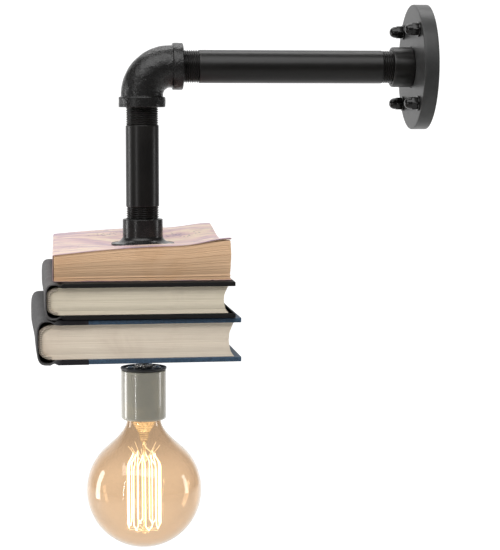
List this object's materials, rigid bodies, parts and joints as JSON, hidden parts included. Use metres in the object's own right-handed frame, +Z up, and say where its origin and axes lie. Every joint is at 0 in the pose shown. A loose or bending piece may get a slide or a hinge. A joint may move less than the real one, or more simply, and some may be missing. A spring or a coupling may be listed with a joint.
{
  "type": "pipe wall lamp",
  "caption": "Wall lamp of threaded black iron pipe with an elbow, a stack of books threaded on its stem, and a porcelain holder with a globe filament bulb.",
  "frame": {"origin": "centre of the wall canopy's back face, on the wall", "axes": "+X into the wall, +Z up; the arm reaches to -X and the books' spines face -X"},
  "size_m": [0.3246, 0.228, 0.4455],
  "materials": {
    "black_pipe": "satin black enamel on steel pipe",
    "black_casting": "glossy black on pebbled malleable iron",
    "black_sheet": "satin black powder coat",
    "black_nuts": "gloss black",
    "zinc": "zinc plated",
    "nickel": "bright nickel",
    "brass": "plain brass",
    "porcelain": "grey glaze",
    "bulb_glass": "clear amber-tinted glass",
    "clear_glass": "clear",
    "filament": "glowing carbon filament",
    "black_ceramic": "vitreous insulator",
    "aged_paper": "aged brown book paper",
    "cream_paper": "cream book paper",
    "grey_paper": "grey-cream book paper",
    "printed_card": "laminated card with a pink and lilac wash",
    "grey_board": "binder's board",
    "blue_board": "board covered in blue paper",
    "black_cloth": "black book cloth",
    "charcoal_cloth": "charcoal book cloth",
    "headband": "woven silk band",
    "white_plastic": "moulded nylon",
    "brown_insulation": "wire insulation",
    "blue_insulation": "wire insulation",
    "green_insulation": "wire insulation"
  },
  "bodies": {
    "root": {"wall_bracket": "zinc", "canopy_studs": "zinc", "wall_canopy": "black_sheet", "stud_washers": "black_nuts", "dome_nuts": "black_nuts", "wall_socket": "black_pipe", "pipe_locknut": "zinc", "terminal_block": "white_plastic", "terminal_screws": "brass", "earth_screw": "brass", "live_wire": "brown_insulation", "neutral_wire": "blue_insulation", "earth_wire": "green_insulation", "horizontal_pipe": "black_pipe", "elbow": "black_casting", "vertical_pipe": "black_pipe", "book_collar": "black_casting", "stem": "zinc", "stem_top_nut": "zinc", "stack_washer": "black_nuts", "stack_nut": "zinc", "top_book_pages": "aged_paper", "top_book_flyleaf": "aged_paper", "top_book_cover": "printed_card", "middle_book_pages": "grey_paper", "middle_book_bottom_board": "grey_board", "middle_book_top_board": "grey_board", "middle_book_cloth": "black_cloth", "middle_book_headbands": "headband", "bottom_book_pages": "cream_paper", "bottom_book_bottom_board": "blue_board", "bottom_book_top_board": "blue_board", "bottom_book_spine_cloth": "charcoal_cloth", "bottom_book_headbands": "headband", "holder_cap": "black_sheet", "holder_cap_nut": "nickel", "holder_cap_screws": "nickel", "holder_body": "porcelain", "holder_screw_shell": "brass", "holder_centre_contact": "brass", "holder_side_contact": "brass", "holder_terminal_screws": "brass"},
    "bulb_tip": {"bulb_tip_contact": "zinc"},
    "bulb": {"bulb_cap_insulator": "black_ceramic", "bulb_screw_cap": "brass", "bulb_glass": "bulb_glass", "bulb_stem_glass": "clear_glass", "bulb_mount_rod": "clear_glass", "bulb_filament": "filament", "bulb_support_wires": "zinc", "bulb_lead_wires": "zinc"}
  },
  "joints": [
    {"name": "bulb_lower", "type": "slide", "parent": "root", "child": "bulb_tip", "axis": [0, 0, -1], "range_m": [0, 0.02172]},
    {"name": "bulb_turn", "type": "hinge", "parent": "bulb_tip", "child": "bulb", "pos_m": [-0.234, 0, -0.347], "axis": [0, 0, -1], "range_deg": [0, 2160]}
  ],
  "couplings": [
    {"joint": "bulb_lower", "follows": "bulb_turn", "m_per_rad": 0.00057614}
  ]
}
